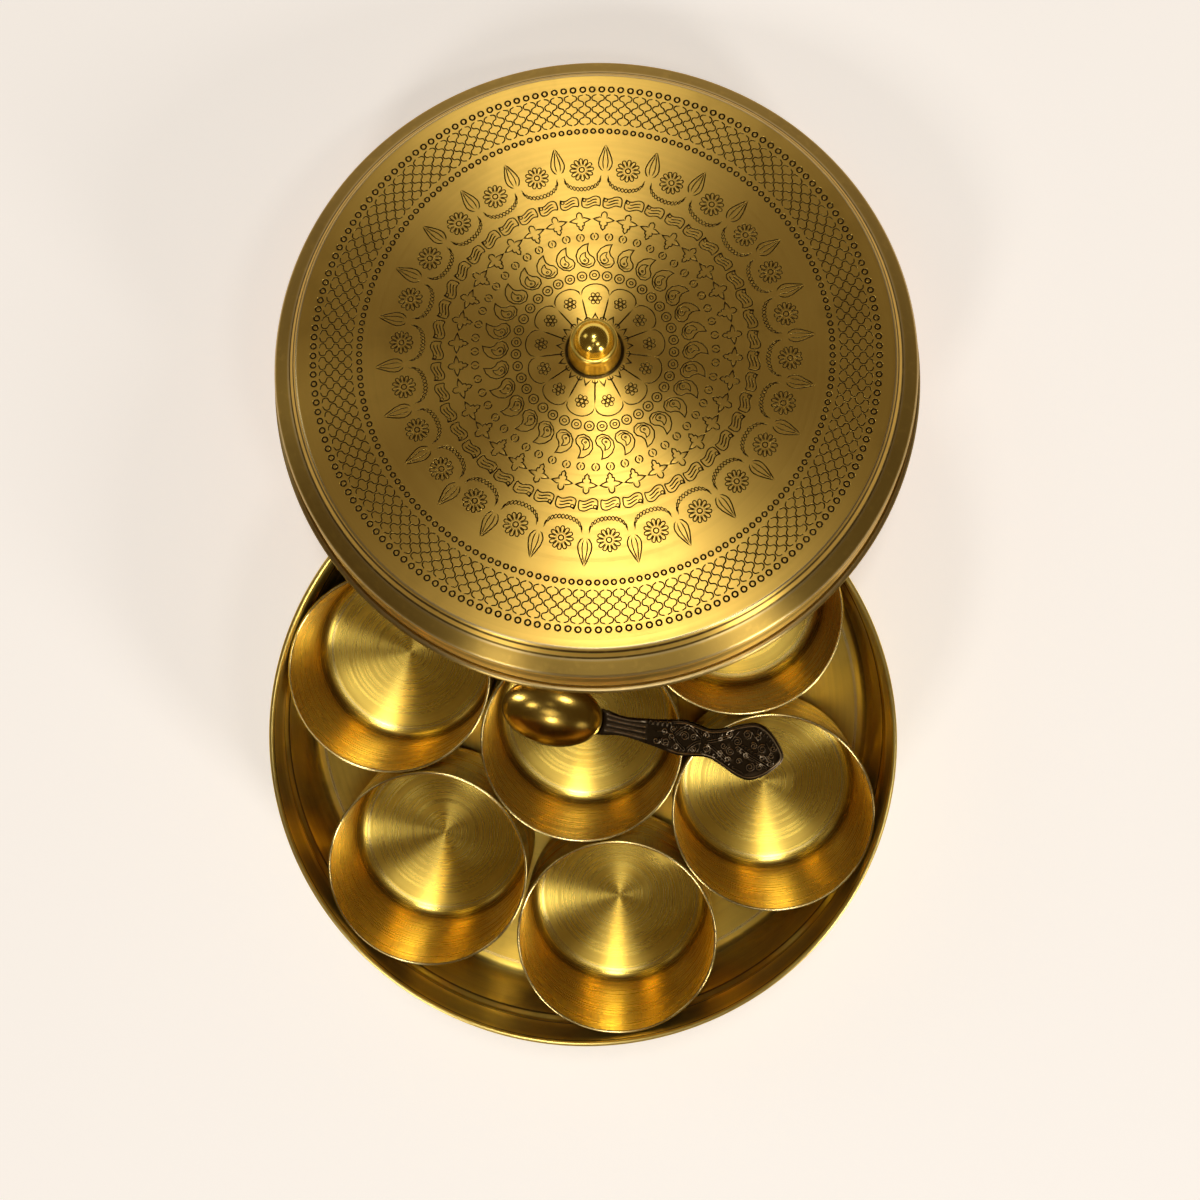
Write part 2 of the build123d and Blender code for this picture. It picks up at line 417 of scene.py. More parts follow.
def blackened_brass(name, place):
    """Blackened brass, rubbed bright on its raised edges."""
    finish = bpy.context.scene.spice_box_finish
    material = bpy.data.materials.new(name)
    n = Nodes(material)
    clouds = n.noise(n.local(place), BLACK_CLOUDS, 4.0, 0.65)
    rubbed = n.add("Attribute", attribute_name="rubbed").outputs["Fac"]
    hollows = rgba([c * 0.8 for c in finish.dirt_and_shade])
    raised = n.mix(n.ramp(rubbed, 0.1, 0.5), hollows, rgba(finish.blackened))
    bare = n.math("MULTIPLY", n.ramp(rubbed, 0.5, 0.9), n.ramp(clouds, 0.3, 0.55))
    colour = n.mix(bare, raised, rgba(finish.worn))
    n.metal(colour, n.ramp(clouds, 0.3, 0.7, 0.3, 0.45), n.bump(clouds, BLACK_RELIEF, 0.4))
    return material


# Creases darkened with dirt and painted shade, and edges painted bright with wear and painted highlights:
# radius, height and width in millimetres, and strength

# The wide rings darken broad bands of the pan's wall and the lid's shoulder and skirt as painted shade
PAN_DIRT_AND_SHADE = [
    (113.3, 20.0, 15.0, 0.4), (113.3, 49.0, 8.0, 0.4),
    (113.25, 40.1, 0.9, 0.95), (113.3, 32.4, 0.8, 0.7), (110.6, 2.0, 1.5, 0.55), (113.3, 56.3, 0.6, 0.8),
    (115.8, 33.5, 0.7, 0.6), (115.8, 39.0, 0.7, 0.6),
]
PAN_WEAR_AND_HIGHLIGHTS = [(114.1, 57.9, 0.7, 0.25), (113.9, 40.3, 0.5, 0.6), (107.4, 0.8, 0.8, 0.5)]
CUP_DIRT_AND_SHADE = [(34.8, 4.4, 2.4, 0.7), (36.0, 51.5, 0.6, 0.8), (37.4, 51.5, 0.6, 0.6)]
CUP_WEAR_AND_HIGHLIGHTS = [(36.9, 53.0, 0.65, 0.5), (31.4, 2.4, 0.7, 0.4)]
LID_DIRT_AND_SHADE = [
    (112.0, 18.6, 4.8, 0.5), (117.6, 1.2, 2.2, 0.6), (115.9, 12.5, 4.0, 0.4),
    (107.1, 23.0, 0.8, 0.9), (108.9, 20.7, 0.7, 0.85), (115.3, 17.2, 0.7, 0.75), (116.4, 2.7, 0.9, 0.95),
    (9.9, 24.9, 0.9, 0.95),
]
LID_WEAR_AND_HIGHLIGHTS = [
    (106.0, 24.3, 0.6, 0.7), (115.0, 17.6, 0.9, 0.5), (109.4, 20.2, 0.6, 0.4), (117.4, 2.3, 0.9, 0.5),
]
POST_DIRT_AND_SHADE = [(9.7, 25.1, 0.9, 0.9), (8.0, 32.2, 0.6, 0.8), (6.6, 34.0, 0.9, 0.9)]

# How the cups' floors rise towards their walls: radius and rise in millimetres

FLOOR_RISE = [(12.0, 0.0), (20.0, 0.2), (28.0, 0.65), (36.0, 1.3)]

# The stage. Lamps are given as name, degrees around from +X, degrees down from overhead, width,
# height and strength

FLOOR_SIZE = 4.0
FLOOR_GLOW = 0.41
WORLD_COLOUR = (1.0, 0.7, 0.34)
WORLD_STRENGTH = 0.085
LAMP_TARGET = Vector((0.0, 0.06, 0.03))
LAMP_DISTANCE = 3.0
LAMPS = [
    ("lamp_far", 86.0, 22.5, 0.44, 0.44, 24.0),
    ("lamp_near", 266.0, 26.0, 0.2, 0.4, 1.5),
    ("lamp_left", 242.0, 53.0, 0.52, 0.6, 16.0),
    ("lamp_right", 313.0, 68.0, 0.52, 1.0, 16.0),
    ("softbox_over", 30.0, 2.0, 0.8, 0.8, 2.3),
    ("softbox_left", 150.0, 55.0, 0.8, 0.8, 1.1),
    ("softbox_right", 322.0, 32.0, 0.5, 0.5, 7.0),
]

# The camera: its reach and the picture's width are in pixels

SENSOR_WIDTH = 36.0
PICTURE_WIDTH = 1200.0
CAMERA_REACH = 1535.0
CAMERA_AT = Vector((25.77, 124.93, 606.88)) * MM
CAMERA_RIGHT = Vector((0.99942, 0.0, -0.03415))
CAMERA_UP = Vector((-0.00437, 0.99179, -0.12783))

# Engraving, drawn in millimetres on a flat plane, its middle a little off the lid's axis

ENGRAVING_CENTRE = (0.18, 0.3)
SHARPEST_MITRE = 1.1
FLAT_JOIN = 1e-5


def bent(points, closed, distance):
    """The line moved sideways by distance."""
    moved = []
    count = len(points)
    for i, (x, y) in enumerate(points):
        before = points[i - 1] if closed or i else points[i]
        after = points[(i + 1) % count] if closed or i < count - 1 else points[i]
        steps = [(x - before[0], y - before[1]), (after[0] - x, after[1] - y)]
        steps = [step for step in steps if step != (0.0, 0.0)]
        (ax, ay), (bx, by) = (steps * 2)[:2]
        a, b = hypot(ax, ay), hypot(bx, by)
        nx, ny = ay / a + by / b, -(ax / a + bx / b)
        size = max(hypot(nx, ny), SHARPEST_MITRE)
        moved.append((x + 2 * distance * nx / size**2, y + 2 * distance * ny / size**2))
    return moved


class Engraving:
    """Lines cut into a flat sheet. Each is a list of (x, y) points in millimetres."""

    def __init__(self, width, centre=(0.0, 0.0)):
        self.half = width / 2
        self.centre = centre
        self.points = []
        self.edges = []
        self.cuts = []

    def border(self, points):
        """A closed line of the sheet's edge."""
        first = len(self.points)
        self.points += points
        self.edges += [(first + i, first + (i + 1) % len(points)) for i in range(len(points))]

    def run(self, indices, closed=False):
        self.edges += list(zip(indices, indices[1:]))
        if closed:
            self.edges.append((indices[-1], indices[0]))

    def cut(self, points, closed=False, share=1.0):
        """A groove along points, which tapers out at open ends. share narrows it."""
        half = self.half * share
        points = [(x + self.centre[0], y + self.centre[1]) for x, y in points]
        left = bent(points, closed, -half)
        right = bent(points, closed, half)
        if not closed:
            left, right = left[1:-1], right[1:-1]
        rows = []
        for row in (points, left, right):
            first = len(self.points)
            self.points += row
            rows.append(list(range(first, first + len(row))))
        middle, left, right = rows
        self.run(middle, closed)
        if closed:
            self.run(left, True)
            self.run(right, True)
            self.cuts.append((points + points[:1], half))
        else:
            self.run([middle[0]] + left + [middle[-1]])
            self.run([middle[0]] + right + [middle[-1]])
            self.cuts.append((points[1:-1], half))

    def depths(self, points):
        """How deep each point lies, from 0 on the sheet to 1 on the line of a groove."""
        samples = []
        for cut_index, (line, half) in enumerate(self.cuts):
            for i, (a, b) in enumerate(zip(line, line[1:])):
                pieces = max(1, ceil(hypot(b[0] - a[0], b[1] - a[1]) / self.half))
                for k in range(pieces + 1):
                    x, y = (start + (end - start) * k / pieces for start, end in zip(a, b))
                    samples.append((x, y, cut_index, i))
        tree = KDTree(len(samples))
        for i, (x, y, _, _) in enumerate(samples):
            tree.insert((x, y, 0.0), i)
        tree.balance()
        found = []
        for x, y in points:
            deepest = 0.0
            for _, index, gap in tree.find_n((x, y, 0.0), 3):
                if gap > 2 * self.half:
                    break
                _, _, cut_index, i = samples[index]
                line, half = self.cuts[cut_index]
                a, b = Vector(line[i]), Vector(line[i + 1])
                span = b - a
                t = min(1.0, max(0.0, (Vector((x, y)) - a).dot(span) / max(span.length_squared, 1e-9)))
                deepest = max(deepest, 1.0 - (Vector((x, y)) - a - span * t).length / half)
            found.append(deepest)
        return found

    def mesh(self, keep, height, depth, layer_name):
        """The sheet's upper face with its grooves, in metres. keep tells which triangles stay."""
        points = [Vector(p) for p in self.points]
        points, _, faces, *_ = delaunay_2d_cdt(points, self.edges, [], 0, FLAT_JOIN)
        depths = self.depths(points)
        bm = bmesh.new()
        layer = bm.verts.layers.float.new(layer_name)
        verts = []
        for (x, y), deep in zip(points, depths):
            vert = bm.verts.new((x * MM, y * MM, height(x, y) * MM - deep * depth))
            vert[layer] = deep
            verts.append(vert)
        for face in faces:
            middle = sum((points[i] for i in face), Vector((0, 0))) / len(face)
            if keep(middle):
                bm.faces.new([verts[i] for i in face])
        loose = [v for v in bm.verts if not v.link_faces]
        bmesh.ops.delete(bm, geom=loose, context="VERTS")
        bm.normal_update()
        turned = [f for f in bm.faces if f.normal.z < 0]
        bmesh.ops.reverse_faces(bm, faces=turned)
        return bm


def circle(cu, cv, radius, count, squash=1.0):
    angles = [2 * pi * i / count for i in range(count)]
    return [(cu + radius * cos(a), cv + squash * radius * sin(a)) for a in angles]


def mirrored(points):
    return [(-u, v) for u, v in points]


class Wreath:
    """Repeats a motif around the lid. A motif is drawn with u along the ring and v outwards."""

    def __init__(self, engraving, seed):
        self.engraving = engraving
        self.dice = random.Random(seed)

    def __call__(self, radius, count, start, motif, jitter=1.0):
        for i in range(count):
            angle = radians(start + 360.0 * i / count + self.dice.uniform(-0.12, 0.12) * jitter)
            tilt = self.dice.uniform(-0.05, 0.05) * jitter
            scale = 1.0 + self.dice.uniform(-0.03, 0.03) * jitter
            lift = self.dice.uniform(-0.12, 0.12) * jitter
            for line in motif:
                points, closed, share = (*line, 1.0)[:3]
                placed = []
                for u, v in points:
                    u, v = scale * (u * cos(tilt) - v * sin(tilt)), scale * (u * sin(tilt) + v * cos(tilt))
                    r = radius + lift + v
                    placed.append((r * cos(angle) - u * sin(angle), r * sin(angle) + u * cos(angle)))
                self.engraving.cut(placed, closed, share)


def flower():
    petal = [
        (1.25, -0.12), (2.3, -0.42), (3.35, -0.68), (4.0, -0.5), (4.25, 0.0),
        (4.0, 0.5), (3.35, 0.68), (2.3, 0.42), (1.25, 0.12),
    ]
    lines = [(circle(0, 0, 0.95, 8), True)]
    for k in range(12):
        a = 2 * pi * k / 12
        lines.append(([(p * cos(a) - q * sin(a), p * sin(a) + q * cos(a)) for p, q in petal], False, 0.85))
    return lines


def leaf():
    side = [
        (-0.5, -4.2), (-1.5, -3.5), (-2.25, -2.2), (-2.45, -0.9),
        (-2.1, 1.0), (-1.35, 3.0), (-0.6, 4.8), (0.0, 6.2),
    ]
    vein = [(-0.35, -3.7), (-0.8, -2.2), (-0.95, -0.6), (-0.75, 1.4), (-0.35, 3.6), (-0.05, 5.4)]
    return [(side, False), (mirrored(side), False), (vein, False, 0.85), (mirrored(vein), False, 0.85)]


def band():
    def wave(c, u):
        return (u, c - 0.55 * sin(pi * u / 3.3))

    steps = [-3.0 + 0.6 * i for i in range(11)]
    outline = [wave(-1.75, u) for u in steps]
    outline += [(3.35, -1.3), (3.4, 0.3), (3.15, 1.6)]
    outline += [wave(1.75, u) for u in reversed(steps)]
    outline += [(-3.4, 1.2), (-3.45, 0.0), (-3.3, -1.2)]
    inner = steps[1:-2]
    return [
        (outline, True),
        ([wave(-0.6, u) for u in steps[1:-1]], False),
        ([wave(0.55, u) for u in inner], False),
        (circle(2.45, 0.75, 0.62, 7), True, 0.8),
    ]


def star():
    lens = [(0.75, 0.55), (1.5, 0.95), (2.6, 0.6), (3.9, 0.0), (2.6, -0.6), (1.5, -0.95), (0.75, -0.55)]
    outer = [(-0.75, 0.55), (-1.05, 1.6), (-0.85, 2.6), (0.0, 3.15), (0.85, 2.6), (1.05, 1.6), (0.75, 0.55)]
    inner = [
        (-0.75, -0.55), (-1.45, -1.2), (-1.3, -2.1), (-0.7, -2.2), (-0.75, -3.2), (0.0, -4.0),
        (0.75, -3.2), (0.7, -2.2), (1.3, -2.1), (1.45, -1.2), (0.75, -0.55),
    ]
    stem = [(0, -0.6), (0.05, 0.2), (0, 1.6)]
    return [(lens, False), (mirrored(lens), False), (outer, False), (inner, False), (stem, False, 0.8)]


def split_dot():
    arc = [(1.35 * cos(a), 1.35 * sin(a)) for a in (-1.5, -1.2, -0.8, -0.4, 0.0, 0.4, 0.8, 1.2, 1.5)]
    return [(arc, False), (mirrored(arc), False), ([(0, -0.9), (0.05, -0.3), (0, 0.4), (0, 0.9)], False, 0.8)]


PAISLEY = [
    (-1.7, 4.6), (0.3, 4.1), (2.1, 2.7), (3.1, 0.6), (2.8, -1.7), (1.4, -3.5), (-0.7, -4.4), (-2.5, -3.7),
    (-3.3, -2.2), (-2.9, -0.7), (-1.7, 0.4), (-1.1, 1.8), (-1.3, 3.3),
]


def paisley():
    inner = [(0.48 * u + 0.45, 0.48 * v - 0.75) for u, v in PAISLEY]
    curl = [(-2.6, -2.3), (-1.5, -3.1), (0.0, -3.4), (1.3, -2.6), (2.3, -2.2)]
    link = [(2.9, -1.2), (3.5, -0.9), (4.2, -1.3)]
    seed = circle(0.3, -1.5, 0.35, 6)
    return [(PAISLEY, True), (inner, True, 0.85), (curl, False, 0.8), (link, False, 0.8), (seed, True, 0.7)]


def striped_dot():
    stripe = [(-0.1, -1.5), (0.05, -0.2), (-0.05, 1.2)]
    return [(circle(0, 0, 1.75, 12), True), (circle(0, 0, 0.75, 7, 0.8), True, 0.8), (stripe, False, 0.7)]


def seven_dots():
    return [(circle(0, 0, 0.72, 7), True, 0.75)] + [
        (circle(1.6 * cos(pi * k / 3), 1.6 * sin(pi * k / 3), 0.72, 7), True, 0.75) for k in range(6)
    ]


# The spoon's handle, in millimetres from the neck towards the tip

HANDLE_SIDE = [
    (-1.6, 5.3), (2.5, 4.5), (6.0, 3.8), (9.5, 3.6), (14.0, 4.1), (21.5, 5.2), (30.0, 6.6),
    (35.0, 6.0), (40.4, 5.3), (46.0, 7.1), (52.0, 9.8), (56.5, 10.7), (60.8, 9.1), (65.3, 5.0), (68.1, 0.0),
]


def smooth(points, steps=4):
    """A smooth open line through the points."""
    knots = [Vector(p) for p in points]
    ends = [2 * knots[0] - knots[1]] + knots + [2 * knots[-1] - knots[-2]]
    line = []
    for before, a, b, after in zip(ends, ends[1:], ends[2:], ends[3:]):
        reach = (b - a).length / 3
        leave, arrive = (b - before).normalized() * reach, (after - a).normalized() * reach
        line += interpolate_bezier(a, a + leave, b - arrive, b, steps + 1)[:-1]
    return [tuple(p) for p in line] + [tuple(points[-1])]


def spiral(cu, cv, radius, turns, start, hand=1):
    """A scroll that winds in towards its middle."""
    count = ceil(turns * 10)
    line = []
    for i in range(count + 1):
        a = radians(start) + hand * 2 * pi * turns * i / count
        r = radius * (1 - 0.8 * i / count)
        line.append((cu + r * cos(a), cv + r * sin(a)))
    return line


def handle_outline():
    side = smooth(HANDLE_SIDE + [(x, -y) for x, y in reversed(HANDLE_SIDE[:-1])])
    bowl_at, bowl_reach, bowl_half = -18.2, 18.75, 12.75
    neck = []
    for y in range(-4, 5):
        neck.append((bowl_at + bowl_reach * sqrt(1 - (y / bowl_half) ** 2), float(y)))
    return side + neck


def relief_lines():
    """The raised lines of the handle: flutes at the neck, then scrolls and leaves."""
    lines = [
        (smooth([(0.8, 3.7), (6.0, 3.0), (11.0, 2.9), (17.0, 3.5)]), 1.2),
        (smooth([(1.4, 1.8), (6.0, 1.5), (12.0, 1.4), (17.2, 1.5)]), 1.2),
        (smooth([(1.6, -0.4), (6.0, -0.5), (12.0, -0.5), (17.4, -0.6)]), 1.2),
        (smooth([(1.2, -2.6), (6.0, -2.4), (12.0, -2.5), (18.4, -2.9)]), 1.2),
    ]
    scrolls = [
        (31.0, 1.1, 1.9, 1.8, 200, -1), (34.4, 1.2, 1.5, 1.6, 0, 1), (24.4, -2.3, 1.7, 1.7, 120, 1),
        (21.0, -2.6, 1.4, 1.3, 60, -1), (28.6, -3.5, 1.2, 1.3, 20, 1), (39.6, -2.0, 1.7, 1.7, 150, -1),
        (46.9, 5.2, 1.5, 1.6, 220, 1), (50.3, 2.9, 1.8, 1.8, 160, -1), (48.5, -1.2, 1.7, 1.8, 90, 1),
        (53.3, 6.2, 1.9, 1.8, 250, 1), (56.4, 2.4, 1.5, 1.7, 170, -1), (59.7, 1.9, 1.9, 1.8, 40, 1),
        (56.6, -5.6, 1.9, 1.8, 100, -1), (60.0, -5.0, 1.5, 1.6, 10, 1), (52.2, -4.2, 1.3, 1.5, 330, 1),
        (44.2, 2.7, 0.9, 1.2, 300, -1), (35.0, -3.0, 1.2, 1.4, 180, 1), (45.6, 0.4, 1.3, 1.4, 30, -1),
    ]
    drawn = len(scrolls)
    dice = random.Random(5)
    column, row, margin = 3.1, 2.9, 2.2
    for i in range(15):
        for j in range(-3, 4):
            u, v = 20.2 + column * i, row * j + row / 2 * (i % 2)
            apart = min(hypot(u - other[0], v - other[1]) for other in scrolls[:drawn])
            if abs(v) < edge_of(u) - margin and apart > row:
                scrolls.append((u, v, 1.3, 1.4, dice.uniform(0, 360), dice.choice((-1, 1))))
    lines += [(spiral(*scroll), 0.85) for scroll in scrolls]
    twins = [
        [(27.0, 0.4), (28.6, 2.6), (30.2, 4.2), (31.6, 5.1)],
        [(27.0, 0.0), (28.8, -1.9), (30.6, -3.2), (32.2, -4.3)],
        [(31.8, 5.0), (33.6, 4.2), (35.6, 2.8), (37.8, 0.9)],
        [(32.4, -4.2), (34.4, -1.6), (36.2, -0.2), (37.8, 0.3)],
        [(38.6, 0.3), (42.0, 1.5), (45.2, 3.1), (48.2, 4.7)],
        [(38.6, -0.2), (42.0, -1.3), (45.0, -3.2), (48.4, -5.6)],
        [(50.4, 0.9), (54.0, -0.7), (58.0, -2.2), (61.2, -3.3), (64.0, -4.6)],
    ]
    for twin in twins:
        middle = smooth(twin, 3)
        for side in (-0.42, 0.42):
            lines.append((bent(middle, False, side), 0.75))
    leaves = [
        [(20.0, 0.7), (23.6, 1.3), (26.6, 0.4)], [(36.7, -0.5), (37.0, -2.2), (36.6, -3.9)],
        [(54.2, 7.9), (56.4, 5.6), (58.4, 3.9)], [(38.2, -4.0), (41.0, -4.3), (44.0, -4.6)],
        [(61.6, 0.2), (63.0, -1.4), (64.6, -2.0)], [(50.4, 7.2), (49.0, 4.6), (47.9, 2.4)],
        [(44.4, -1.0), (46.6, -3.0), (49.6, -4.6)], [(60.4, 5.0), (62.0, 2.8), (63.4, 0.8)],
        [(49.8, -7.0), (53.0, -7.7), (55.2, -8.6)], [(62.6, -1.8), (61.4, -0.8), (58.6, -0.6)],
    ]
    lines += [(smooth(vein), 0.8) for vein in leaves]

    # A scalloped run beside the flutes
    for i in range(5):
        u = 17.8 + 1.75 * i
        top = 4.2 + 0.22 * i
        lobe = [(u - 0.55, 2.6), (u - 0.65, top - 0.6), (u, top), (u + 0.65, top - 0.6), (u + 0.55, 2.6)]
        lines.append((smooth(lobe, 2), 0.75))

    # Short hatches that lean in from the edges
    hatch = [(0.0, 0.0), (0.6, 0.6), (1.0, 1.25), (1.3, 1.8)]
    for side, first, last, count, lean in (
        (1, 27.0, 47.0, 14, 0.5), (-1, 22.0, 50.0, 19, 0.6), (1, 57.0, 63.5, 6, -0.4),
    ):
        for i in range(count):
            u = first + (last - first) * i / (count - 1)
            v = edge_of(u) - 1.35
            lines.append(([(u + lean * far, side * (v - down)) for far, down in hatch], 0.75))

    # A feathered leaf at the tip
    barb = [(0.0, 0.7), (0.5, 1.2), (1.1, 1.6), (1.8, 1.9)]
    quill_start = 51.6
    for i in range(9):
        u = quill_start + 1.25 * i
        v = 0.3 - 0.38 * (u - quill_start)
        for side in (-1, 1):
            lines.append(([(u + far, v + away * side) for far, away in barb], 0.7))
    return lines


def edge_of(u):
    """Half the handle's width at u."""
    for (a, va), (b, vb) in zip(HANDLE_SIDE, HANDLE_SIDE[1:]):
        if a <= u <= b:
            return va + (vb - va) * (u - a) / (b - a)
    return 0.0


def engrave_lid(engraving):
    """Draws the lid's rings of motifs, from the edge inwards."""
    wreath = Wreath(engraving, 11)
    wreath(99.87, 180, 1.262, [(circle(0, 0, 0.98, 10), True, 1.45)], 0.4)
    wreath(83.47, 180, 1.096, [(circle(0, 0, 0.86, 9), True, 1.35)], 0.4)

    # The lattice: pairs of lines that swing towards each other and apart
    columns, low, high, crossing, row, steps = 120, 85.8, 98.1, 87.5, 4.5, 40
    for k in range(columns):
        middle = 360.0 * k / columns
        for side in (-1, 1):
            line = []
            for step in range(steps + 1):
                r = low + (high - low) * step / steps
                wave = cos(2 * pi * (r - crossing) / row)
                swing = 0.75 + 0.58 * copysign(abs(wave) ** 0.45, wave)
                a = radians(middle + side * swing + wreath.dice.uniform(-0.03, 0.03))
                line.append((r * cos(a), r * sin(a)))
            engraving.cut(line)

    # Flowers between leaves, each over a hanging chain
    flowers, start, steps = 26, 80.8, 52
    pitch = 360.0 / flowers
    wreath(68.6, flowers, start, flower())
    wreath(72.0, flowers, start + pitch / 2, leaf(), 0.6)
    for k in range(flowers):
        for side in (-1, 1):
            line = []
            for step in range(steps + 1):
                t = -1 + 2 * step / steps
                a = radians(start + pitch * (k + 0.43 * t * (1.25 - 0.25 * t * t)))
                link = side * 0.75 * sin(12 * pi * step / steps)
                r = 67.3 - 6.3 * sqrt(max(0.0, 1 - t * t * 0.98)) + link
                line.append((r * cos(a), r * sin(a)))
            engraving.cut(line, share=0.75)

    for radius, count, start, motif in (
        (56.0, 45, 84.2, band), (49.0, 36, 87.1, star), (42.6, 52, 90.9, split_dot),
        (35.2, 30, 84.4, paisley), (27.9, 39, 91.0, striped_dot), (19.2, 13, 90.4, seven_dots),
    ):
        wreath(radius, count, start, motif())

    # The petals around the knob
    petals, start, steps = 13, 90.4, 16
    pitch = 360.0 / petals
    for k in range(petals):
        middle = start + pitch * k
        line = []
        for step in range(steps + 1):
            t = -1 + 2 * step / steps
            a = radians(middle + t * pitch / 2)
            r = 20.5 + 4.2 * sqrt(max(0.0, 1 - t * t))
            line.append((r * cos(a), r * sin(a)))
        engraving.cut(line)
        a = radians(middle + pitch / 2)
        engraving.cut([(r * cos(a), r * sin(a)) for r in (20.7, 18.0, 15.0, 12.0, 10.2)], share=1.2)
    point = [(-1.5, -0.4), (-0.75, 1.1), (0.0, 2.7), (0.75, 1.1), (1.5, -0.4)]
    bud = [(-0.8, -0.9), (-1.0, 0.2), (0.0, 0.9), (1.0, 0.2), (0.8, -0.9)]
    wreath(11.0, petals, start, [(point, False)])
    wreath(11.6, petals, start + pitch / 2, [(bud, False)])


class SPICEBOX_OT_pan(bpy.types.Operator):
    """Spins the pan with its rib and rolled rim"""

    bl_idname = "spicebox.pan"
    bl_label = "Pan"

    def execute(self, context):
        sizes = context.scene.spice_box_sizes
        t = sizes.pan_sheet
        wall, rib = 113.25 * MM, 114.85 * MM
        bead, tuck = 0.9 * MM, 0.05 * MM
        corners = [
            (0, t), (wall, t), (wall, 32.6 * MM), (rib, 34.4 * MM), (rib, 38.2 * MM), (wall, 40.0 * MM),
            (wall, 58.0 * MM - bead),
        ]
        bends = [b * MM for b in (5.5, 1.2, 1.0, 1.0, 0.5)]
        rim = (wall + bead - tuck, 58.0 * MM - bead, bead)
        bm = spun_sheet(corners, bends, t, rim, sizes.turn_steps)
        brass = turned_brass("pan_brass", Matrix.Identity(4), 0.34, 0.8, 0.5, PAN_DIRT_AND_SHADE, PAN_WEAR_AND_HIGHLIGHTS)
        finished(bm, "pan_spun", "pan", ["pan"], brass)
        return {"FINISHED"}


class SPICEBOX_OT_cups(bpy.types.Operator):
    """Spins the seven cups"""

    bl_idname = "spicebox.cups"
    bl_label = "Cups"

    def execute(self, context):
        sizes = context.scene.spice_box_sizes
        t = sizes.cup_sheet
        bead, gap = 0.6 * MM, 0.3 * MM
        floor = sizes.pan_sheet + gap + t
        rim = (37.5 * MM - bead, 53.0 * MM - bead, bead)
        dished = [(r * MM, floor + rise * MM) for r, rise in FLOOR_RISE]
        corners = [(0, floor), *dished, (rim[0] - t / 2, rim[1])]
        for name, place in CUP_PLACES.items():
            bm = spun_sheet(corners, [0, 0, 0, 4.5 * MM], t, rim, sizes.turn_steps)
            bm.transform(Matrix.Translation(place))
            brass = turned_brass(
                name + "_brass", Matrix.Translation(place), 0.28, 0.9, 0.25, CUP_DIRT_AND_SHADE, CUP_WEAR_AND_HIGHLIGHTS,
                wall=26 * MM, rings=0.16, dish=1.8,
            )
            finished(bm, name + "_spun", name, [name], brass)
        return {"FINISHED"}


class SPICEBOX_OT_lid(bpy.types.Operator):
    """Spins the lid's shell and engraves its top"""

    bl_idname = "spicebox.lid"
    bl_label = "Lid"

    def execute(self, context):
        sizes = context.scene.spice_box_sizes
        t = sizes.lid_sheet
        bead = 1.2 * MM
        edge_r, edge_h, hole_r, centre_h = 106.2, 24.2, 2.2, 24.9
        engraved_from, engraved_to = 8.5, 105.2

        def top(x, y):
            return centre_h - (centre_h - edge_h) * (hypot(x, y) - hole_r) / (edge_r - hole_r)

        corners = [
            (116.1, 1.2), (115.1, 17.4), (108.8, 20.5), (edge_r, edge_h),
            (engraved_to, top(engraved_to, 0)), (engraved_from, top(engraved_from, 0)), (hole_r, centre_h),
        ]
        corners = [(r * MM, h * MM) for r, h in corners]
        bends = [b * MM for b in (1.3, 1.0, 0.8, 0, 0)]
        bm = spun_sheet(corners, bends, -t, (116.05 * MM + bead, bead, bead), sizes.turn_steps)

        plain = []
        for face in bm.faces:
            middle = face.calc_center_median()
            r = hypot(middle.x, middle.y) / MM
            if engraved_from < r < engraved_to and abs(middle.z / MM - top(r, 0)) < 0.3:
                plain.append(face)
        if len(plain) != sizes.turn_steps:
            raise RuntimeError(f"the lid's plain top has {len(plain)} faces")
        bmesh.ops.delete(bm, geom=plain, context="FACES_ONLY")

        engraving = Engraving(sizes.line_width / MM, ENGRAVING_CENTRE)
        for r in (engraved_to, engraved_from):
            engraving.border(circle(0, 0, r, sizes.turn_steps))
        engrave_lid(engraving)

        def on_top(middle):
            return engraved_from * cos(pi / sizes.turn_steps) < middle.length

        cut = engraving.mesh(on_top, top, sizes.line_depth, "patina")
        bm.verts.layers.float.new("patina")
        join(bm, cut)
        rims = [v for v in bm.verts if v.is_boundary]
        bmesh.ops.remove_doubles(bm, verts=rims, dist=SEAM_DISTANCE)
        bm.transform(LID_FRAME)
        brass = turned_brass("lid_brass", LID_FRAME, 0.38, 0.9, 0.3, LID_DIRT_AND_SHADE, LID_WEAR_AND_HIGHLIGHTS, grooves=True)
        finished(bm, "lid_engraved", "lid", ["lid_shell"], brass, radians(14))
        return {"FINISHED"}


